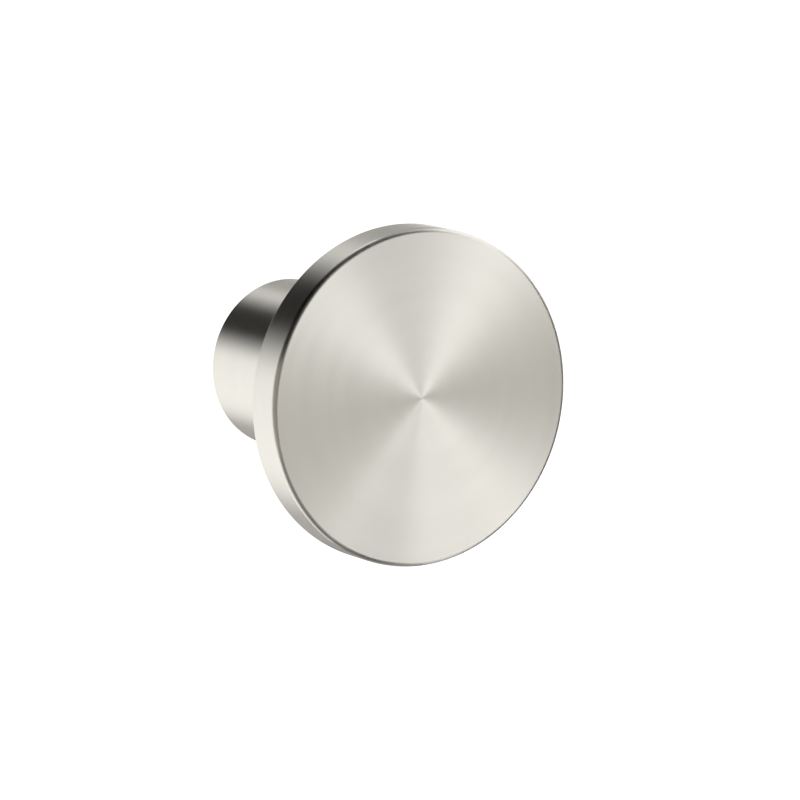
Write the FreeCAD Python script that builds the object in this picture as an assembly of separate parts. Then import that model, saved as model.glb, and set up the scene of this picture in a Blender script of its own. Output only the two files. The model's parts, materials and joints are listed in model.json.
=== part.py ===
import FreeCAD, Part

import math
import os

# Round cabinet knob, turned from one bar: a flat disc head on a plain cylindrical stem.
# The knob's axis lies along Y. The mounting face is the plane Y = 0 and the front looks towards -Y.
# The origin is the centre of the mounting face, where the knob meets the drawer front. +Z is up.

# Head, in millimetres
head_diameter = 35.0
head_thickness = 4.5
front_edge_radius = 0.5
back_edge_radius = 0.35

# Stem
projection = 28.0
stem_diameter = 18.0
neck_fillet_radius = 0.5
foot_edge_chamfer = 0.3

# Blind tapped hole for the mounting screw
thread_diameter = 4.0
thread_pitch = 0.7
thread_depth = 12.0
thread_run_out = 2.0
drill_point_angle = 118.0
countersink_overhang = 0.3
countersink_angle = 90.0


def point(radius, depth):
    """A point of the section, at a radius from the axis and a depth in front of the mounting face."""
    return FreeCAD.Vector(radius, -depth, 0.0)


def line(start, end):
    return Part.LineSegment(start, end).toShape()


def rounded_corner(corner, first_way, second_way, radius):
    """A quarter-round between two square sides that leave the corner along the two ways."""
    start = corner + first_way * radius
    end = corner + second_way * radius
    centre = corner + first_way * radius + second_way * radius
    towards_corner = (corner - centre).normalize()
    middle = centre + towards_corner * radius
    return start, Part.Arc(start, middle, end).toShape(), end


def revolve_about_axis(edges):
    """Turn a closed section through a full circle about the knob's axis."""
    section = Part.Face(Part.Wire(edges))
    return section.revolve(FreeCAD.Vector(0.0, 0.0, 0.0), FreeCAD.Vector(0.0, 1.0, 0.0), 360.0)


def turned_blank():
    """The solid knob as it leaves the lathe, before its hole is drilled."""
    head_radius = head_diameter / 2.0
    stem_radius = stem_diameter / 2.0
    head_back_depth = projection - head_thickness
    outwards = FreeCAD.Vector(1.0, 0.0, 0.0)
    inwards = FreeCAD.Vector(-1.0, 0.0, 0.0)
    forwards = FreeCAD.Vector(0.0, -1.0, 0.0)
    backwards = FreeCAD.Vector(0.0, 1.0, 0.0)

    foot_centre = point(0.0, 0.0)
    front_centre = point(0.0, projection)
    foot_inner = point(stem_radius - foot_edge_chamfer, 0.0)
    foot_outer = point(stem_radius, foot_edge_chamfer)
    neck_start, neck_arc, neck_end = rounded_corner(
        point(stem_radius, head_back_depth), backwards, outwards, neck_fillet_radius
    )
    back_start, back_arc, back_end = rounded_corner(
        point(head_radius, head_back_depth), inwards, forwards, back_edge_radius
    )
    front_start, front_arc, front_end = rounded_corner(
        point(head_radius, projection), backwards, inwards, front_edge_radius
    )
    return revolve_about_axis([
        line(foot_centre, foot_inner),
        line(foot_inner, foot_outer),
        line(foot_outer, neck_start),
        neck_arc,
        line(neck_end, back_start),
        back_arc,
        line(back_end, front_start),
        front_arc,
        line(front_end, front_centre),
        line(front_centre, foot_centre),
    ])


def tapped_hole():
    """What the drill and the countersink take out: the hole's wall stands at the thread's crests."""
    wall_radius = (thread_diameter - thread_pitch) / 2.0
    mouth_radius = thread_diameter / 2.0 + countersink_overhang
    mouth_depth = (mouth_radius - wall_radius) / math.tan(math.radians(countersink_angle / 2.0))
    drilled_depth = thread_depth + thread_run_out
    point_length = wall_radius / math.tan(math.radians(drill_point_angle / 2.0))

    mouth_centre = point(0.0, 0.0)
    mouth_rim = point(mouth_radius, 0.0)
    wall_start = point(wall_radius, mouth_depth)
    wall_end = point(wall_radius, drilled_depth)
    drill_tip = point(0.0, drilled_depth + point_length)
    return revolve_about_axis([
        line(mouth_centre, mouth_rim),
        line(mouth_rim, wall_start),
        line(wall_start, wall_end),
        line(wall_end, drill_tip),
        line(drill_tip, mouth_centre),
    ])


def make_knob():
    return turned_blank().cut(tapped_hole())


def main():
    os.makedirs("parts", exist_ok=True)
    knob = make_knob()
    if not knob.isValid() or len(knob.Solids) != 1:
        raise RuntimeError("the knob is not one valid solid")
    knob.Solids[0].exportStep("parts/knob.step")
    box = knob.optimalBoundingBox()
    print("knob", round(box.XLength, 3), round(box.YLength, 3), round(box.ZLength, 3), "mm")
    print("volume", round(knob.Volume / 1000.0, 3), "cm3")


main()
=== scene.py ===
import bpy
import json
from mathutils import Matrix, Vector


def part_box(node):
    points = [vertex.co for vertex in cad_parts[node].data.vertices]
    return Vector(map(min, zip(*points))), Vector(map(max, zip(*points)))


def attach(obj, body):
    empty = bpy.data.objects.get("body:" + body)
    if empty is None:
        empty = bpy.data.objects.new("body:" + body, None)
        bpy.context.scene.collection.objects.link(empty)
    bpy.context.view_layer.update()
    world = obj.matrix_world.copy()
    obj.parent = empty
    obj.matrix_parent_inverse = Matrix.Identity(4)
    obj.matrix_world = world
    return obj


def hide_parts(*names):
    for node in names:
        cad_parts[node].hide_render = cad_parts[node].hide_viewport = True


bl_info = {
    "name": "Turned Cabinet Knob",
    "version": (1, 0, 0),
    "blender": (4, 5, 0),
    "location": "3D View > Sidebar > Knob",
    "description": "A round cabinet knob in brushed nickel, turned in one piece, and its studio",
    "category": "Add Mesh",
}

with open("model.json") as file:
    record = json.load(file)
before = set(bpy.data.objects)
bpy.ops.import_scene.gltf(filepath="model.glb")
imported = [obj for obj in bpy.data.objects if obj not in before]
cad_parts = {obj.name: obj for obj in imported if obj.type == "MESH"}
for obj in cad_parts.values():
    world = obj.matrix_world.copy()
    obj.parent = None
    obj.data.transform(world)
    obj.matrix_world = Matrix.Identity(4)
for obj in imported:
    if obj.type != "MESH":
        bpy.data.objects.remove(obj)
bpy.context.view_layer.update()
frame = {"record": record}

import json
import math
from collections import namedtuple

import bmesh
import bpy
from bpy.props import FloatProperty, FloatVectorProperty, IntProperty, PointerProperty
from mathutils import Matrix, Vector

# Places and names
MILLIMETRE = 0.001
KNOB_NODE = "knob"
KNOB_PIECE = "knob_body"
BODY = "root"
PROFILE_MAP = "profile"
NODE_LOW, NODE_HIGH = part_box(KNOB_NODE)
SCREW_HOLE = next(mount for mount in frame["record"]["mounts"] if mount["name"] == "screw_hole")

# Turns
FULL_TURN = math.radians(360.0)
HALF_TURN = FULL_TURN / 2.0
QUARTER_TURN = FULL_TURN / 4.0

# How finely the knob is made, with the radii of the rings on its face in millimetres
SIDES = 192
EDGE_SEGMENTS = 8
NECK_SEGMENTS = 6
CHAMFER_SEGMENTS = 1
THREAD_STEPS = 64
FACE_RING_RADII = (14.0, 10.0, 6.5, 3.5, 1.5)

# Vertices this close are merged, and places this close count as the same
WELD_DISTANCE = 0.0005 * MILLIMETRE
PLACE_TOLERANCE = 0.02 * MILLIMETRE

# A face lies square across the axis when its normal has at least this much of the axis in it
SQUARE_ON = 0.999

# Folds sharper than this keep their crease
SHARP_ANGLE = math.radians(30.0)

# The tap: how far it reaches into the open hole and past its mouth, the flat at the thread's root as a
# share of the pitch, and the corners of its section
TAP_OVERLAP = 0.12 * MILLIMETRE
ROOT_FLAT_SHARE = 1.0 / 8.0
TAP_CORNERS = 4

# The middle of the strip that the surface is laid out on, in the direction around the axis
STRIP_MIDDLE = 0.5

# The noise behind the turning lines: the part of its range that they use, and its grain
NOISE_LOW = 0.3
NOISE_HIGH = 0.7
NOISE_DETAIL = 2.0
NOISE_ROUGHNESS = 0.6

# Takes the part along the axis out of a place
ACROSS_THE_AXIS = (1.0, 0.0, 1.0)

# The camera's film in millimetres, and how near and how far it sees, in metres
SENSOR_WIDTH = 36.0
NEAREST_SEEN = 0.01
FARTHEST_SEEN = 20.0

WHITE = (1.0, 1.0, 1.0)

# Studio flags: soft-edged cards that face the knob and that only its metal mirrors. Each has its place
# round the knob and its turn in degrees, half its width and height in metres, the share of each half that
# its edge fades over, and its tone beside the white tent.
Flag = namedtuple("Flag", "name azimuth elevation turn half_width half_height feather tone")
FLAGS = (
    # The black band on the upper left of the stem and the head
    Flag("flag_high_left", -117, 47, 14, 1.64, 0.34, 0.8, (0.0, 0.0, 0.0)),
    # The black line along the upper left edge of the face
    Flag("flag_left_edge", -45, 27, -7, 0.52, 0.17, 0.2, (0.0, 0.0, 0.0)),
    # The dark core of the line along the left edge of the face
    Flag("flag_near_left", -14, -4, 37, 0.08, 0.16, 0.4, (0.09, 0.085, 0.075)),
    # The grey fans on the left and the right of the face, and the line along its left edge
    Flag("flag_front", -50, 0, -24, 1.56, 0.34, 0.1, (0.27, 0.26, 0.235)),
    # The grey fan at the top of the face
    Flag("flag_top", -27, 57, 3, 0.55, 0.17, 0.1, (0.0, 0.0, 0.0)),
    # The dark line along the right edge of the face
    Flag("flag_right", 69, -4, -38, 0.17, 0.20, 0.1, (0.08, 0.07, 0.05)),
    # The narrow dip at the bottom of the face
    Flag("flag_low", 24, -42, 0, 0.06, 0.16, 0.2, (0.0, 0.0, 0.0)),
    # The grey crown of the rim and the stem
    Flag("flag_back", 147, 40, -61, 0.67, 0.14, 0.15, (0.38, 0.38, 0.37)),
    # The grey underside of the rim and the stem
    Flag("flag_back_low", 150, -54, -30, 0.17, 0.56, 0.1, (0.31, 0.30, 0.30)),
    # The dark line along the top edge of the face
    Flag("flag_overhead", -8, 65, -46, 1.30, 0.22, 0.5, (0.0, 0.0, 0.0)),
    # The dark lines along the bottom and the lower right edge of the face
    Flag("flag_low_right", 126, -42, -17, 0.65, 0.22, 0.45, (0.01, 0.01, 0.01)),
    Flag("flag_under", -24, -54, 20, 0.28, 0.49, 0.3, (0.09, 0.09, 0.08)),
    Flag("flag_right_edge", 64, -37, 36, 1.50, 0.06, 0.2, (0.0, 0.0, 0.0)),
)

# How far the flags stand from the middle of the mounting face. A new flag reaches 1 each way, so that its
# half sizes stretch it.
FLAG_DISTANCE = 0.45
FLAG_SPAN = 2.0

# The lengths that follow from the knob's sizes
Section = namedtuple("Section", "head_radius stem_radius head_back_depth mouth_depth point_length")


class KnobSizes(bpy.types.PropertyGroup):
    """The lengths of the knob."""

    head_diameter: FloatProperty(
        name="Head Diameter", description="Diameter of the flat disc head",
        default=NODE_HIGH.x - NODE_LOW.x, min=0.001, subtype="DISTANCE", unit="LENGTH", precision=5,
    )
    head_thickness: FloatProperty(
        name="Head Thickness", description="Thickness of the head from its front to its back face",
        default=4.5 * MILLIMETRE, min=0.0001, subtype="DISTANCE", unit="LENGTH", precision=5,
    )
    front_edge_radius: FloatProperty(
        name="Front Edge Radius", description="Quarter-round between the front face and the rim",
        default=0.5 * MILLIMETRE, min=0.0, subtype="DISTANCE", unit="LENGTH", precision=5,
    )
    back_edge_radius: FloatProperty(
        name="Back Edge Radius", description="Quarter-round between the rim and the back of the head",
        default=0.35 * MILLIMETRE, min=0.0, subtype="DISTANCE", unit="LENGTH", precision=5,
    )
    projection: FloatProperty(
        name="Projection", description="How far the front face stands off the drawer front",
        default=NODE_HIGH.y - NODE_LOW.y, min=0.001, subtype="DISTANCE", unit="LENGTH", precision=5,
    )
    stem_diameter: FloatProperty(
        name="Stem Diameter", description="Diameter of the plain cylindrical stem",
        default=18.0 * MILLIMETRE, min=0.001, subtype="DISTANCE", unit="LENGTH", precision=5,
    )
    neck_fillet_radius: FloatProperty(
        name="Neck Fillet", description="Fillet where the stem meets the back of the head",
        default=0.5 * MILLIMETRE, min=0.0, subtype="DISTANCE", unit="LENGTH", precision=5,
    )
    foot_edge_chamfer: FloatProperty(
        name="Foot Chamfer", description="Chamfer around the mounting face",
        default=0.3 * MILLIMETRE, min=0.0, subtype="DISTANCE", unit="LENGTH", precision=5,
    )
    hole_radius: FloatProperty(
        name="Hole Radius", description="Radius of the drilled hole, at the crests of its thread",
        default=SCREW_HOLE["dims"]["r_mm"] * MILLIMETRE,
        min=0.0001, subtype="DISTANCE", unit="LENGTH", precision=5,
    )
    hole_depth: FloatProperty(
        name="Hole Depth", description="Depth of the hole's straight wall below the mounting face",
        default=14.0 * MILLIMETRE, min=0.001, subtype="DISTANCE", unit="LENGTH", precision=5,
    )
    mouth_radius: FloatProperty(
        name="Mouth Radius", description="Radius of the countersunk mouth at the mounting face",
        default=2.3 * MILLIMETRE, min=0.0001, subtype="DISTANCE", unit="LENGTH", precision=5,
    )
    drill_point_angle: FloatProperty(
        name="Drill Point", description="Full angle of the cone that the drill leaves at the bottom",
        default=math.radians(118.0), subtype="ANGLE", unit="ROTATION",
    )
    thread_diameter: FloatProperty(
        name="Thread Diameter", description="Diameter at the roots of the thread",
        default=4.0 * MILLIMETRE, min=0.001, subtype="DISTANCE", unit="LENGTH", precision=5,
    )
    thread_pitch: FloatProperty(
        name="Thread Pitch", description="Distance from one turn of the thread to the next",
        default=0.7 * MILLIMETRE, min=0.0001, subtype="DISTANCE", unit="LENGTH", precision=5,
    )
    thread_angle: FloatProperty(
        name="Thread Angle", description="Full angle between the flanks of the thread",
        default=math.radians(60.0), subtype="ANGLE", unit="ROTATION",
    )
    thread_turns: IntProperty(
        name="Thread Turns",
        description="Whole turns that the tap cuts, the last one leaving through the mouth",
        default=18, min=1,
    )


class NickelFinish(bpy.types.PropertyGroup):
    """The brushed nickel finish."""

    metal: FloatVectorProperty(
        name="Metal", description="Colour of the nickel where it mirrors white",
        default=(0.825, 0.802, 0.744), subtype="COLOR", min=0.0, max=1.0,
    )
    cut_metal: FloatVectorProperty(
        name="Cut Metal", description="Colour of the metal inside the tapped hole",
        default=(0.62, 0.60, 0.56), subtype="COLOR", min=0.0, max=1.0,
    )
    roughness: FloatProperty(
        name="Roughness", description="Roughness of the brushed surface", default=0.30, min=0.0, max=1.0,
    )
    hole_roughness: FloatProperty(
        name="Hole Roughness", description="Roughness inside the tapped hole",
        default=0.42, min=0.0, max=1.0,
    )
    anisotropy: FloatProperty(
        name="Anisotropy", description="How far the brushing draws the highlights out",
        default=0.9, min=0.0, max=1.0,
    )
    cusp_slope: FloatProperty(
        name="Cusp Slope",
        description="Mean lean of the fine turned cusps on the flat faces, away from the axis",
        default=math.radians(3.5), subtype="ANGLE", unit="ROTATION",
    )
    line_width: FloatProperty(
        name="Line Width", description="Width of one fine turning line",
        default=0.09 * MILLIMETRE, min=0.00001, subtype="DISTANCE", unit="LENGTH", precision=6,
    )
    line_depth: FloatProperty(
        name="Line Depth", description="Depth of the fine turning lines",
        default=0.0008 * MILLIMETRE, min=0.0, subtype="DISTANCE", unit="LENGTH", precision=7,
    )
    line_arcs: FloatProperty(
        name="Line Arcs", description="How quickly a fine line changes on its way around the axis",
        default=2.5, min=0.0,
    )
    line_shade: FloatProperty(
        name="Line Shade", description="How much darker than the metal the darkest fine line is",
        default=0.015, min=0.0, max=1.0,
    )
    band_width: FloatProperty(
        name="Band Width", description="Width of the broad bands that the tool's feed leaves",
        default=1.3 * MILLIMETRE, min=0.0001, subtype="DISTANCE", unit="LENGTH", precision=6,
    )
    band_arcs: FloatProperty(
        name="Band Arcs", description="How quickly a broad band changes on its way around the axis",
        default=0.8, min=0.0,
    )
    band_sheen: FloatProperty(
        name="Band Sheen", description="How far the roughness swings each way from band to band",
        default=0.01, min=0.0, max=1.0,
    )


class KnobStudio(bpy.types.PropertyGroup):
    """Camera, floor and light."""

    camera_azimuth: FloatProperty(
        name="Camera Azimuth", description="Turn of the camera about the upright, from straight in front",
        default=math.radians(-31.42), subtype="ANGLE", unit="ROTATION",
    )
    camera_elevation: FloatProperty(
        name="Camera Elevation", description="Height of the camera above the horizon",
        default=math.radians(9.43), subtype="ANGLE", unit="ROTATION",
    )
    camera_distance: FloatProperty(
        name="Camera Distance", description="Distance from the camera to the point that it looks at",
        default=0.493, subtype="DISTANCE", unit="LENGTH",
    )
    aim_right: FloatProperty(
        name="Aim Right", description="How far the camera looks to the right of the middle of the knob",
        default=3.21 * MILLIMETRE, subtype="DISTANCE", unit="LENGTH", precision=5,
    )
    aim_up: FloatProperty(
        name="Aim Up", description="How far the camera looks above the middle of the knob",
        default=-1.64 * MILLIMETRE, subtype="DISTANCE", unit="LENGTH", precision=5,
    )
    aim_depth: FloatProperty(
        name="Aim Depth", description="How far in front of the mounting face the camera looks",
        default=17.5 * MILLIMETRE, subtype="DISTANCE", unit="LENGTH", precision=5,
    )
    focal_length: FloatProperty(
        name="Focal Length", description="Focal length of the camera's lens, in millimetres",
        default=213.4,
    )
    floor_drop: FloatProperty(
        name="Floor Drop", description="How far the floor lies below the knob's axis",
        default=0.6, subtype="DISTANCE", unit="LENGTH",
    )
    floor_width: FloatProperty(
        name="Floor Width", description="Width of the floor",
        default=3.0, subtype="DISTANCE", unit="LENGTH",
    )
    floor_tone: FloatVectorProperty(
        name="Floor Tone", description="Colour of the pale floor",
        default=(0.88, 0.88, 0.87), subtype="COLOR", min=0.0, max=1.0,
    )
    floor_lift: FloatProperty(
        name="Floor Lift", description="What the floor lacks to the tent's white, added where it is seen",
        default=0.34, min=0.0,
    )
    surround: FloatProperty(
        name="Surround", description="Brightness of the white tent, as the camera and the metal see it",
        default=1.20,
    )
    fill_light: FloatProperty(
        name="Fill Light", description="Brightness of the tent as a light on matt things", default=1.0,
    )
    lamp_azimuth: FloatProperty(
        name="Lamp Azimuth", description="Turn of the lamp about the upright, from straight in front",
        default=math.radians(35.0), subtype="ANGLE", unit="ROTATION",
    )
    lamp_elevation: FloatProperty(
        name="Lamp Elevation", description="Height of the lamp above the horizon",
        default=math.radians(58.0), subtype="ANGLE", unit="ROTATION",
    )
    lamp_distance: FloatProperty(
        name="Lamp Distance", description="Distance from the lamp to the mounting face",
        default=1.5, subtype="DISTANCE", unit="LENGTH",
    )
    lamp_size: FloatProperty(
        name="Lamp Size", description="Width of the lamp", default=0.9, subtype="DISTANCE", unit="LENGTH",
    )
    lamp_power: FloatProperty(
        name="Lamp Power", description="Power of the soft overhead lamp", default=3.0, unit="POWER",
    )


# Helpers for modelling

def deselect_all():
    if bpy.context.object is not None and bpy.context.object.mode != "OBJECT":
        bpy.ops.object.mode_set(mode="OBJECT")
    bpy.ops.object.select_all(action="DESELECT")


def select_only(piece):
    deselect_all()
    piece.select_set(True)
    bpy.context.view_layer.objects.active = piece


def select_parts(piece, kind, wanted):
    """Select the faces, edges or vertices that a test accepts."""
    bpy.ops.mesh.select_mode(type=kind)
    bpy.ops.mesh.select_all(action="DESELECT")
    mesh = bmesh.from_edit_mesh(piece.data)
    parts = {"FACE": mesh.faces, "EDGE": mesh.edges, "VERT": mesh.verts}[kind]
    found = [part for part in parts if wanted(part)]
    if not found:
        raise RuntimeError(piece.name + ": no " + kind + " is where one was looked for")
    for part in found:
        part.select_set(True)
    bmesh.update_edit_mesh(piece.data)


def select_faces(piece, wanted):
    """Select the faces whose middle and normal pass a test."""
    select_parts(piece, "FACE", lambda face: wanted(face.calc_center_median(), face.normal))


def select_edges(piece, wanted):
    """Select the edges whose two ends both pass a test on their place."""
    select_parts(piece, "EDGE", lambda edge: all(wanted(vertex.co) for vertex in edge.verts))


def select_vertices(piece, wanted):
    """Select the vertices whose place passes a test."""
    select_parts(piece, "VERT", lambda vertex: wanted(vertex.co))


def radius_of(place):
    """Distance from the knob's axis."""
    return math.hypot(place.x, place.z)


def near(value, target):
    return abs(value - target) < PLACE_TOLERANCE


def ring_at(radius, depth):
    """A test for the circle at a radius from the axis and a depth in front of the mounting face."""
    return lambda place: near(radius_of(place), radius) and near(place.y, -depth)


def extrude_along_axis(distance):
    """Extrude what is selected away from the mounting face, or towards it by a negative distance."""
    bpy.ops.mesh.extrude_region_move(TRANSFORM_OT_translate={"value": (0.0, -distance, 0.0)})


def apply_modifier(piece, modifier):
    select_only(piece)
    bpy.ops.object.modifier_apply(modifier=modifier.name)


# The knob

def section_of(sizes):
    """The lengths that follow from the sizes. The countersink's wall leans by 45 degrees."""
    return Section(
        head_radius=sizes.head_diameter / 2.0,
        stem_radius=sizes.stem_diameter / 2.0,
        head_back_depth=sizes.projection - sizes.head_thickness,
        mouth_depth=sizes.mouth_radius - sizes.hole_radius,
        point_length=sizes.hole_radius / math.tan(sizes.drill_point_angle / 2.0),
    )


def make_head(sizes):
    """The head starts as a disc that lies across the knob's axis."""
    middle_depth = sizes.projection - sizes.head_thickness / 2.0
    deselect_all()
    bpy.ops.mesh.primitive_cylinder_add(
        vertices=SIDES,
        radius=section_of(sizes).head_radius,
        depth=sizes.head_thickness,
        end_fill_type="NGON",
        location=(0.0, -middle_depth, 0.0),
        rotation=(QUARTER_TURN, 0.0, 0.0),
    )
    knob = bpy.context.object
    knob.name = KNOB_PIECE
    bpy.ops.object.transform_apply(location=True, rotation=True, scale=True)
    return knob


def draw_out_stem(knob, sizes):
    """Inset the head's back face to the stem's radius and draw it back to the mounting face."""
    section = section_of(sizes)
    select_faces(knob, lambda middle, normal: normal.y > SQUARE_ON)
    bpy.ops.mesh.inset(thickness=section.head_radius - section.stem_radius)
    extrude_along_axis(-section.head_back_depth)


def drill_hole(knob, sizes):
    """Inset the foot to the countersink's mouth, then sink the cone, the wall and the drill's point."""
    section = section_of(sizes)
    narrowing = sizes.hole_radius / sizes.mouth_radius
    bpy.ops.mesh.inset(thickness=section.stem_radius - sizes.mouth_radius)
    extrude_along_axis(section.mouth_depth)
    bpy.ops.transform.resize(
        value=(narrowing, 1.0, narrowing), center_override=(0.0, -section.mouth_depth, 0.0)
    )
    extrude_along_axis(sizes.hole_depth - section.mouth_depth)
    bpy.ops.mesh.poke()
    select_vertices(knob, ring_at(0.0, sizes.hole_depth))
    bpy.ops.transform.translate(value=(0.0, -section.point_length, 0.0))


def round_edges(knob, sizes):
    """Ease the edges as the turning tool does."""
    section = section_of(sizes)
    edges = (
        (section.head_radius, sizes.projection, sizes.front_edge_radius, EDGE_SEGMENTS),
        (section.head_radius, section.head_back_depth, sizes.back_edge_radius, EDGE_SEGMENTS),
        (section.stem_radius, section.head_back_depth, sizes.neck_fillet_radius, NECK_SEGMENTS),
        (section.stem_radius, 0.0, sizes.foot_edge_chamfer, CHAMFER_SEGMENTS),
    )
    for radius, depth, reach, segments in edges:
        select_edges(knob, ring_at(radius, depth))
        bpy.ops.mesh.bevel(offset=reach, segments=segments)


def ring_front_face(knob, sizes):
    """Divide the front face into rings, and close it at its centre."""
    face_depth = sizes.projection
    radius = section_of(sizes).head_radius - sizes.front_edge_radius
    select_faces(knob, lambda middle, normal: normal.y < -SQUARE_ON and near(middle.y, -face_depth))
    for ring_radius in FACE_RING_RADII:
        bpy.ops.mesh.inset(thickness=radius - ring_radius * MILLIMETRE)
        radius = ring_radius * MILLIMETRE
    bpy.ops.mesh.poke()


def make_tap(sizes):
    """The tap is a helical cutter with the section of the thread's groove, narrow and flat at its tip."""
    root_radius = sizes.thread_diameter / 2.0
    inner_radius = sizes.hole_radius - TAP_OVERLAP
    groove_depth = root_radius - inner_radius
    root_width = sizes.thread_pitch * ROOT_FLAT_SHARE
    inner_width = root_width + 2.0 * groove_depth * math.tan(sizes.thread_angle / 2.0)
    start_depth = sizes.thread_pitch * (sizes.thread_turns - 1) + TAP_OVERLAP
    middle_radius = (root_radius + inner_radius) / 2.0

    deselect_all()
    bpy.ops.mesh.primitive_plane_add(size=1.0, location=(middle_radius, -start_depth, 0.0))
    tap = bpy.context.object
    tap.name = "tap"
    tap.scale = (groove_depth, inner_width, 1.0)
    bpy.ops.object.transform_apply(location=True, rotation=True, scale=True)
    bpy.ops.object.mode_set(mode="EDIT")
    select_vertices(tap, lambda place: near(place.x, root_radius))
    bpy.ops.transform.resize(
        value=(1.0, root_width / inner_width, 1.0), center_override=(root_radius, -start_depth, 0.0)
    )
    bpy.ops.mesh.select_all(action="SELECT")
    bpy.ops.mesh.delete(type="ONLY_FACE")
    bpy.ops.object.mode_set(mode="OBJECT")

    screw = tap.modifiers.new("helix", "SCREW")
    screw.axis = "Y"
    screw.angle = FULL_TURN
    screw.screw_offset = sizes.thread_pitch
    screw.iterations = sizes.thread_turns
    screw.steps = THREAD_STEPS
    screw.render_steps = THREAD_STEPS
    apply_modifier(tap, screw)

    bpy.ops.object.mode_set(mode="EDIT")
    bpy.ops.mesh.select_all(action="SELECT")
    bpy.ops.mesh.fill_holes(sides=TAP_CORNERS)
    bpy.ops.mesh.select_all(action="SELECT")
    bpy.ops.mesh.normals_make_consistent(inside=False)
    bpy.ops.object.mode_set(mode="OBJECT")
    return tap


def cut_thread(knob, sizes):
    """Take the tap's shape out of the hole's wall."""
    tap = make_tap(sizes)
    cut = knob.modifiers.new("thread", "BOOLEAN")
    cut.operation = "DIFFERENCE"
    cut.solver = "EXACT"
    cut.object = tap
    apply_modifier(knob, cut)
    bpy.data.meshes.remove(tap.data)


def weld(knob):
    """Close seams and poles, and point every face outwards."""
    select_only(knob)
    bpy.ops.object.mode_set(mode="EDIT")
    bpy.ops.mesh.select_all(action="SELECT")
    bpy.ops.mesh.remove_doubles(threshold=WELD_DISTANCE)
    bpy.ops.mesh.select_all(action="SELECT")
    bpy.ops.mesh.normals_make_consistent(inside=False)
    bpy.ops.object.mode_set(mode="OBJECT")
    mesh = bmesh.new()
    mesh.from_mesh(knob.data)
    open_edges = sum(1 for edge in mesh.edges if not edge.is_manifold)
    mesh.free()
    if open_edges:
        raise RuntimeError(knob.name + " has " + str(open_edges) + " open edges")


def smooth(knob):
    """Shade the rounds smooth, and keep the flat faces flat up to their edges."""
    select_only(knob)
    bpy.ops.object.shade_smooth_by_angle(angle=SHARP_ANGLE)
    weights = knob.modifiers.new("flat faces lead", "WEIGHTED_NORMAL")
    weights.keep_sharp = True
    apply_modifier(knob, weights)


def profile_of(sizes):
    """The section's corners as (radius, depth), from the front face's middle to the drill's point."""
    section = section_of(sizes)
    return [
        Vector((0.0, sizes.projection)),
        Vector((section.head_radius, sizes.projection)),
        Vector((section.head_radius, section.head_back_depth)),
        Vector((section.stem_radius, section.head_back_depth)),
        Vector((section.stem_radius, 0.0)),
        Vector((sizes.mouth_radius, 0.0)),
        Vector((sizes.hole_radius, section.mouth_depth)),
        Vector((sizes.hole_radius, sizes.hole_depth)),
        Vector((0.0, sizes.hole_depth + section.point_length)),
    ]


def distance_along(profile, spot):
    """How far along the section the nearest point to a spot lies, from 0 at its start to 1 at its end."""
    nearest_gap = math.inf
    nearest_distance = 0.0
    walked = 0.0
    for start, end in zip(profile, profile[1:]):
        way = end - start
        share = max(0.0, min(1.0, (spot - start).dot(way) / way.length_squared))
        gap = (start + way * share - spot).length
        if gap < nearest_gap:
            nearest_gap = gap
            nearest_distance = walked + share * way.length
        walked += way.length
    return nearest_distance / walked


def unwrap_as_turned(knob, sizes):
    """Lay the surface out as a strip: across it along the section, and up it around the axis."""
    profile = profile_of(sizes)
    mesh = knob.data
    while mesh.uv_layers:
        mesh.uv_layers.remove(mesh.uv_layers[0])
    strip = mesh.uv_layers.new(name=PROFILE_MAP)
    along = [
        distance_along(profile, Vector((radius_of(vertex.co), -vertex.co.y))) for vertex in mesh.vertices
    ]
    for face in mesh.polygons:
        face_angle = math.atan2(face.center.z, face.center.x)
        for loop_index in face.loop_indices:
            vertex = mesh.vertices[mesh.loops[loop_index].vertex_index]
            angle = face_angle
            if radius_of(vertex.co) > WELD_DISTANCE:
                turn = math.atan2(vertex.co.z, vertex.co.x) - face_angle
                angle += (turn + HALF_TURN) % FULL_TURN - HALF_TURN
            strip.data[loop_index].uv = (along[vertex.index], angle / FULL_TURN + STRIP_MIDDLE)


# Materials

def new_group(name, inputs, outputs):
    """A shader node group with named sockets, each given as (name, kind)."""
    group = bpy.data.node_groups.new(name, "ShaderNodeTree")
    for socket_name, kind in inputs:
        group.interface.new_socket(name=socket_name, in_out="INPUT", socket_type=kind)
    for socket_name, kind in outputs:
        group.interface.new_socket(name=socket_name, in_out="OUTPUT", socket_type=kind)
    return group, group.nodes.new("NodeGroupInput"), group.nodes.new("NodeGroupOutput")


def new_node(tree, kind, values, **settings):
    """A node with its settings, and with inputs by name or number: a socket is linked, a value is set."""
    node = tree.nodes.new(kind)
    for name, value in settings.items():
        setattr(node, name, value)
    for name, value in values.items():
        if isinstance(value, bpy.types.NodeSocket):
            tree.links.new(value, node.inputs[name])
        else:
            node.inputs[name].default_value = value
    return node


def math_node(tree, operation, *values):
    """A Math node whose inputs are sockets or plain numbers. Gives its output."""
    return new_node(tree, "ShaderNodeMath", dict(enumerate(values)), operation=operation).outputs[0]


def vector_math_node(tree, operation, *values):
    """A Vector Math node whose inputs are sockets or plain vectors. Gives its vector output."""
    return new_node(tree, "ShaderNodeVectorMath", dict(enumerate(values)), operation=operation).outputs[0]


def away_from_axis(tree, place):
    """The direction that points straight away from the knob's axis at a place."""
    flat = vector_math_node(tree, "MULTIPLY", place, ACROSS_THE_AXIS)
    return vector_math_node(tree, "NORMALIZE", flat)


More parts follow.
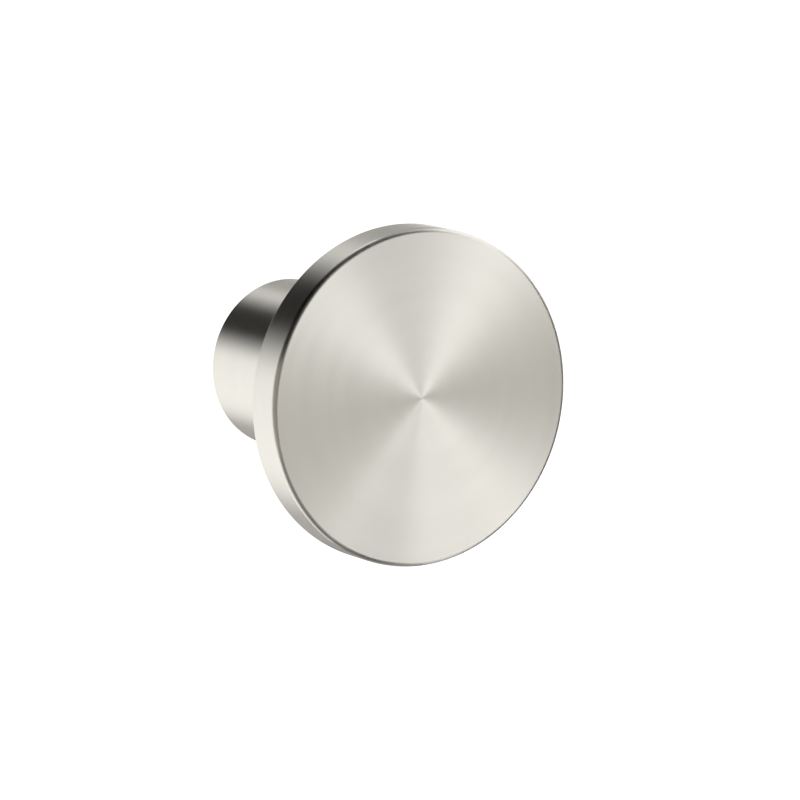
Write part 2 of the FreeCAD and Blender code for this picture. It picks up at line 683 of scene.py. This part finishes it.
def turning_lines_group():
    """Fine arcs around the axis, as brushing leaves them. They change quickly along the section."""
    group, given, result = new_group(
        "turning_lines",
        [
            ("Place", "NodeSocketVector"),
            ("Along Section", "NodeSocketFloat"),
            ("Line Width", "NodeSocketFloat"),
            ("Arcs", "NodeSocketFloat"),
        ],
        [("Lines", "NodeSocketFloat")],
    )
    outward = away_from_axis(group, given.outputs["Place"])
    parts = new_node(group, "ShaderNodeSeparateXYZ", {"Vector": outward})
    line_count = math_node(group, "DIVIDE", given.outputs["Along Section"], given.outputs["Line Width"])
    across = math_node(group, "MULTIPLY", parts.outputs["X"], given.outputs["Arcs"])
    upward = math_node(group, "MULTIPLY", parts.outputs["Z"], given.outputs["Arcs"])
    spot = new_node(group, "ShaderNodeCombineXYZ", {"X": line_count, "Y": across, "Z": upward})
    noise = new_node(
        group,
        "ShaderNodeTexNoise",
        {
            "Vector": spot.outputs["Vector"],
            "Scale": 1.0,
            "Detail": NOISE_DETAIL,
            "Roughness": NOISE_ROUGHNESS,
        },
        noise_dimensions="3D",
    )
    group.links.new(noise.outputs["Fac"], result.inputs["Lines"])
    return group


def cusp_lean_group():
    """Leans the normal of a flat turned face away from the axis, as the cusps of its turning lines do."""
    group, given, result = new_group(
        "cusp_lean",
        [("Place", "NodeSocketVector"), ("Slope", "NodeSocketFloat")],
        [("Normal", "NodeSocketVector")],
    )
    turned = new_node(
        group,
        "ShaderNodeVectorTransform",
        {"Vector": away_from_axis(group, given.outputs["Place"])},
        vector_type="VECTOR",
        convert_from="OBJECT",
        convert_to="WORLD",
    )
    outward = turned.outputs["Vector"]
    straight = new_node(group, "ShaderNodeNewGeometry", {}).outputs["Normal"]
    facing = new_node(
        group, "ShaderNodeVectorMath", {0: straight, 1: outward}, operation="DOT_PRODUCT"
    ).outputs["Value"]
    on_flat_face = math_node(group, "SUBTRACT", 1.0, math_node(group, "ABSOLUTE", facing))
    lean = math_node(group, "MULTIPLY", on_flat_face, given.outputs["Slope"])
    shift = new_node(
        group, "ShaderNodeVectorMath", {"Vector": outward, "Scale": lean}, operation="SCALE"
    ).outputs["Vector"]
    leaning = vector_math_node(group, "ADD", straight, shift)
    group.links.new(vector_math_node(group, "NORMALIZE", leaning), result.inputs["Normal"])
    return group


def feathered_edge_group():
    """A mask that is 1 in the middle of a card and fades to 0 at its edges."""
    group, given, result = new_group(
        "feathered_edge",
        [("Card Map", "NodeSocketVector"), ("Feather", "NodeSocketFloat")],
        [("Mask", "NodeSocketFloat")],
    )
    parts = new_node(group, "ShaderNodeSeparateXYZ", {"Vector": given.outputs["Card Map"]})
    # The card's map runs from 0 to 1, so twice that less 1 is 0 in the middle and 1 at an edge
    sides = []
    for axis in ("X", "Y"):
        from_middle = math_node(group, "MULTIPLY_ADD", parts.outputs[axis], 2.0, -1.0)
        from_edge = math_node(group, "SUBTRACT", 1.0, math_node(group, "ABSOLUTE", from_middle))
        fade = new_node(
            group,
            "ShaderNodeMapRange",
            {"Value": from_edge, "From Max": given.outputs["Feather"]},
            interpolation_type="SMOOTHSTEP",
        )
        sides.append(fade.outputs["Result"])
    group.links.new(math_node(group, "MULTIPLY", *sides), result.inputs["Mask"])
    return group


def add_group(tree, group, label, values):
    """A node group placed in a material, with its own inputs."""
    return new_node(tree, "ShaderNodeGroup", values, node_tree=group, label=label)


def opaque(colour):
    """A colour as a shader's socket takes it, with full alpha."""
    return (*colour, 1.0)


def blank_material(name):
    material = bpy.data.materials.new(name)
    material.use_nodes = True
    tree = material.node_tree
    tree.nodes.clear()
    return material, tree, tree.nodes.new("ShaderNodeOutputMaterial")


def spread(tree, noise, low, high):
    """Spread the part of the noise's range that is used from one value to another."""
    node = new_node(
        tree,
        "ShaderNodeMapRange",
        {"Value": noise, "From Min": NOISE_LOW, "From Max": NOISE_HIGH, "To Min": low, "To Max": high},
    )
    return node.outputs["Result"]


def inside_hole(tree, place, sizes):
    """1 inside the tapped hole and 0 on the rest of the knob."""
    parts = new_node(tree, "ShaderNodeSeparateXYZ", {"Vector": place})
    squares = math_node(tree, "MULTIPLY", parts.outputs["X"], parts.outputs["X"])
    squares = math_node(tree, "MULTIPLY_ADD", parts.outputs["Z"], parts.outputs["Z"], squares)
    radius = math_node(tree, "SQRT", squares)
    within = math_node(tree, "LESS_THAN", radius, sizes.mouth_radius - PLACE_TOLERANCE)
    head_back_depth = section_of(sizes).head_back_depth
    behind_head = math_node(tree, "GREATER_THAN", parts.outputs["Y"], -head_back_depth)
    return math_node(tree, "MULTIPLY", within, behind_head)


def brushed_nickel(finish, sizes):
    """Satin nickel, brushed around the axis: the highlights are drawn out along the section."""
    material, tree, output = blank_material("brushed_nickel")
    place = tree.nodes.new("ShaderNodeTexCoord").outputs["Object"]
    strip = new_node(tree, "ShaderNodeUVMap", {}, uv_map=PROFILE_MAP)
    strip_parts = new_node(tree, "ShaderNodeSeparateXYZ", {"Vector": strip.outputs["UV"]})
    profile = profile_of(sizes)
    section_length = sum((end - start).length for start, end in zip(profile, profile[1:]))
    along = math_node(tree, "MULTIPLY", strip_parts.outputs["X"], section_length)

    lines_group = turning_lines_group()
    spot = {"Place": place, "Along Section": along}
    fine = add_group(
        tree, lines_group, "fine lines",
        {**spot, "Line Width": finish.line_width, "Arcs": finish.line_arcs},
    ).outputs["Lines"]
    bands = add_group(
        tree, lines_group, "broad bands",
        {**spot, "Line Width": finish.band_width, "Arcs": finish.band_arcs},
    ).outputs["Lines"]

    # Inside the hole the metal is as the drill and the tap leave it
    in_hole = inside_hole(tree, place, sizes)
    shade = spread(tree, fine, 1.0 - finish.line_shade, 1.0)
    outside = new_node(
        tree,
        "ShaderNodeMix",
        {"Factor": 1.0, "A": opaque(finish.metal), "B": shade},
        data_type="RGBA",
        blend_type="MULTIPLY",
    )
    colour = new_node(
        tree,
        "ShaderNodeMix",
        {"Factor": in_hole, "A": outside.outputs["Result"], "B": opaque(finish.cut_metal)},
        data_type="RGBA",
    )
    sheen = spread(
        tree, bands, finish.roughness - finish.band_sheen, finish.roughness + finish.band_sheen
    )
    roughness = new_node(
        tree,
        "ShaderNodeMix",
        {"Factor": in_hole, "A": sheen, "B": finish.hole_roughness},
        data_type="FLOAT",
    )

    lean = add_group(
        tree, cusp_lean_group(), "cusp lean", {"Place": place, "Slope": math.tan(finish.cusp_slope)}
    )
    bump = new_node(
        tree,
        "ShaderNodeBump",
        {
            "Strength": 1.0,
            "Distance": finish.line_depth,
            "Height": fine,
            "Normal": lean.outputs["Normal"],
        },
    )
    direction = new_node(tree, "ShaderNodeTangent", {}, direction_type="UV_MAP", uv_map=PROFILE_MAP)
    metal = new_node(
        tree,
        "ShaderNodeBsdfPrincipled",
        {
            "Base Color": colour.outputs["Result"],
            "Metallic": 1.0,
            "Roughness": roughness.outputs["Result"],
            "Anisotropic": finish.anisotropy,
            "Tangent": direction.outputs["Tangent"],
            "Normal": bump.outputs["Normal"],
        },
    )
    tree.links.new(metal.outputs["BSDF"], output.inputs["Surface"])
    return material


def seen_directly(tree):
    """1 for rays from the camera, a mirror or glass, and 0 for light that reaches matt things."""
    rays = tree.nodes.new("ShaderNodeLightPath")
    seen = math_node(tree, "MAXIMUM", rays.outputs["Is Camera Ray"], rays.outputs["Is Glossy Ray"])
    return math_node(tree, "MAXIMUM", seen, rays.outputs["Is Transmission Ray"])


def pale_floor(studio):
    """Matt and pale. What it lacks to white is added where it is seen, so it keeps its shadow."""
    material, tree, output = blank_material("pale_floor")
    matt = new_node(tree, "ShaderNodeBsdfDiffuse", {"Color": opaque(studio.floor_tone)})
    strength = math_node(tree, "MULTIPLY", seen_directly(tree), studio.floor_lift)
    lift = new_node(tree, "ShaderNodeEmission", {"Strength": strength})
    both = new_node(tree, "ShaderNodeAddShader", {0: matt.outputs["BSDF"], 1: lift.outputs["Emission"]})
    tree.links.new(both.outputs["Shader"], output.inputs["Surface"])
    return material


def flag_card(flag, studio, edge_group):
    """A dark card with feathered edges. Its tone is a share of the tent's white, as the metal sees it."""
    material, tree, output = blank_material(flag.name)
    brightening = studio.surround / studio.fill_light
    tone = opaque(part * brightening for part in flag.tone)
    card = new_node(tree, "ShaderNodeBsdfDiffuse", {"Color": tone})
    clear = new_node(tree, "ShaderNodeBsdfTransparent", {})
    card_map = new_node(tree, "ShaderNodeUVMap", {})
    edge = add_group(
        tree, edge_group, "feathered edge", {"Card Map": card_map.outputs["UV"], "Feather": flag.feather}
    )
    mixed = new_node(
        tree,
        "ShaderNodeMixShader",
        {0: edge.outputs["Mask"], 1: clear.outputs["BSDF"], 2: card.outputs["BSDF"]},
    )
    tree.links.new(mixed.outputs["Shader"], output.inputs["Surface"])
    return material


# The studio

def direction_to(azimuth, elevation):
    """The way to a place around the knob: azimuth 0 is in front of it and 90 degrees is to its right."""
    level = math.cos(elevation)
    return Vector((math.sin(azimuth) * level, -math.cos(azimuth) * level, math.sin(elevation)))


def right_and_up(azimuth, outward):
    """What is right and what is up to an eye that looks at the knob from a place around it."""
    right = Vector((math.cos(azimuth), math.sin(azimuth), 0.0))
    return right, outward.cross(right)


def make_floor(studio):
    deselect_all()
    bpy.ops.mesh.primitive_plane_add(size=studio.floor_width, location=(0.0, 0.0, -studio.floor_drop))
    floor = bpy.context.object
    floor.name = "floor"
    bpy.ops.object.transform_apply(location=True, rotation=True, scale=True)
    floor.data.materials.append(pale_floor(studio))


def make_flag(flag, studio, edge_group):
    """A card that faces the knob. Only shiny things see it."""
    azimuth = math.radians(flag.azimuth)
    outward = direction_to(azimuth, math.radians(flag.elevation))
    right, upward = right_and_up(azimuth, outward)
    turn = math.radians(flag.turn)
    card_right = right * math.cos(turn) + upward * math.sin(turn)
    card_up = upward * math.cos(turn) - right * math.sin(turn)
    facing = Matrix((card_right, card_up, card_right.cross(card_up))).transposed().to_4x4()
    stretch = Matrix.Diagonal((flag.half_width, flag.half_height, 1.0, 1.0))

    deselect_all()
    bpy.ops.mesh.primitive_plane_add(size=FLAG_SPAN)
    card = bpy.context.object
    card.name = flag.name
    card.matrix_world = Matrix.Translation(outward * FLAG_DISTANCE) @ facing @ stretch
    bpy.ops.object.transform_apply(location=True, rotation=True, scale=True)
    card.data.materials.append(flag_card(flag, studio, edge_group))
    card.visible_camera = False
    card.visible_diffuse = False
    card.visible_transmission = False
    card.visible_volume_scatter = False
    card.visible_shadow = False


def make_world(studio):
    """A white tent all round: full white where it is seen, and a plain soft light on matt things."""
    world = bpy.data.worlds.new("white_tent")
    world.use_nodes = True
    tree = world.node_tree
    tree.nodes.clear()
    extra = studio.surround - studio.fill_light
    strength = math_node(tree, "MULTIPLY_ADD", seen_directly(tree), extra, studio.fill_light)
    white = new_node(tree, "ShaderNodeBackground", {"Color": opaque(WHITE), "Strength": strength})
    output = tree.nodes.new("ShaderNodeOutputWorld")
    tree.links.new(white.outputs["Background"], output.inputs["Surface"])
    bpy.context.scene.world = world


def make_lamp(studio):
    """A broad soft lamp from high on the right. The metal's own light comes from the tent."""
    lamp_place = direction_to(studio.lamp_azimuth, studio.lamp_elevation) * studio.lamp_distance
    deselect_all()
    bpy.ops.object.light_add(type="AREA", location=lamp_place)
    lamp = bpy.context.object
    lamp.name = "soft_lamp"
    lamp.data.shape = "SQUARE"
    lamp.data.size = studio.lamp_size
    lamp.data.energy = studio.lamp_power
    lamp.rotation_euler = (-lamp_place).to_track_quat("-Z", "Y").to_euler()
    lamp.visible_glossy = False


def make_camera(studio):
    """A long lens from the left front, slightly above."""
    back = direction_to(studio.camera_azimuth, studio.camera_elevation)
    right, upward = right_and_up(studio.camera_azimuth, back)
    aim = Vector((0.0, -studio.aim_depth, 0.0)) + right * studio.aim_right + upward * studio.aim_up
    deselect_all()
    bpy.ops.object.camera_add(location=aim + back * studio.camera_distance)
    camera = bpy.context.object
    camera.name = "camera"
    camera.rotation_euler = (-back).to_track_quat("-Z", "Y").to_euler()
    camera.data.sensor_width = SENSOR_WIDTH
    camera.data.lens = studio.focal_length
    camera.data.clip_start = NEAREST_SEEN
    camera.data.clip_end = FARTHEST_SEEN
    bpy.context.scene.camera = camera


# Operators and panel

class KNOB_OT_turn_knob(bpy.types.Operator):
    """Turn the knob: head, stem, eased edges and tapped hole, in brushed nickel"""

    bl_idname = "knob.turn_knob"
    bl_label = "Turn Knob"
    bl_options = {"REGISTER", "UNDO"}

    def execute(self, context):
        sizes = context.scene.knob_sizes
        knob = make_head(sizes)
        bpy.ops.object.mode_set(mode="EDIT")
        draw_out_stem(knob, sizes)
        drill_hole(knob, sizes)
        round_edges(knob, sizes)
        ring_front_face(knob, sizes)
        bpy.ops.object.mode_set(mode="OBJECT")
        cut_thread(knob, sizes)
        weld(knob)
        smooth(knob)
        unwrap_as_turned(knob, sizes)
        knob.data.materials.clear()
        knob.data.materials.append(brushed_nickel(context.scene.knob_finish, sizes))
        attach(knob, BODY)
        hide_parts(KNOB_NODE)
        return {"FINISHED"}


class KNOB_OT_set_studio(bpy.types.Operator):
    """Set the studio: floor, white tent, flags, lamp and camera"""

    bl_idname = "knob.set_studio"
    bl_label = "Set Studio"
    bl_options = {"REGISTER", "UNDO"}

    def execute(self, context):
        studio = context.scene.knob_studio
        make_floor(studio)
        edge_group = feathered_edge_group()
        for flag in FLAGS:
            make_flag(flag, studio, edge_group)
        make_world(studio)
        make_lamp(studio)
        make_camera(studio)
        context.scene.view_settings.view_transform = "Standard"
        return {"FINISHED"}


class KNOB_PT_panel(bpy.types.Panel):
    """Sizes, finish and studio of the cabinet knob"""

    bl_idname = "KNOB_PT_panel"
    bl_label = "Cabinet Knob"
    bl_space_type = "VIEW_3D"
    bl_region_type = "UI"
    bl_category = "Knob"

    def draw(self, context):
        layout = self.layout
        for group in (context.scene.knob_sizes, context.scene.knob_finish):
            box = layout.box()
            for name in group.__annotations__:
                box.prop(group, name)
        layout.operator(KNOB_OT_turn_knob.bl_idname)
        box = layout.box()
        for name in context.scene.knob_studio.__annotations__:
            box.prop(context.scene.knob_studio, name)
        layout.operator(KNOB_OT_set_studio.bl_idname)


CLASSES = (KnobSizes, NickelFinish, KnobStudio, KNOB_OT_turn_knob, KNOB_OT_set_studio, KNOB_PT_panel)


def register():
    for cls in CLASSES:
        bpy.utils.register_class(cls)
    bpy.types.Scene.knob_sizes = PointerProperty(type=KnobSizes)
    bpy.types.Scene.knob_finish = PointerProperty(type=NickelFinish)
    bpy.types.Scene.knob_studio = PointerProperty(type=KnobStudio)


def unregister():
    del bpy.types.Scene.knob_studio
    del bpy.types.Scene.knob_finish
    del bpy.types.Scene.knob_sizes
    for cls in reversed(CLASSES):
        bpy.utils.unregister_class(cls)


def main():
    register()
    bpy.ops.knob.turn_knob()
    bpy.ops.knob.set_studio()


if __name__ == "__main__":
    main()
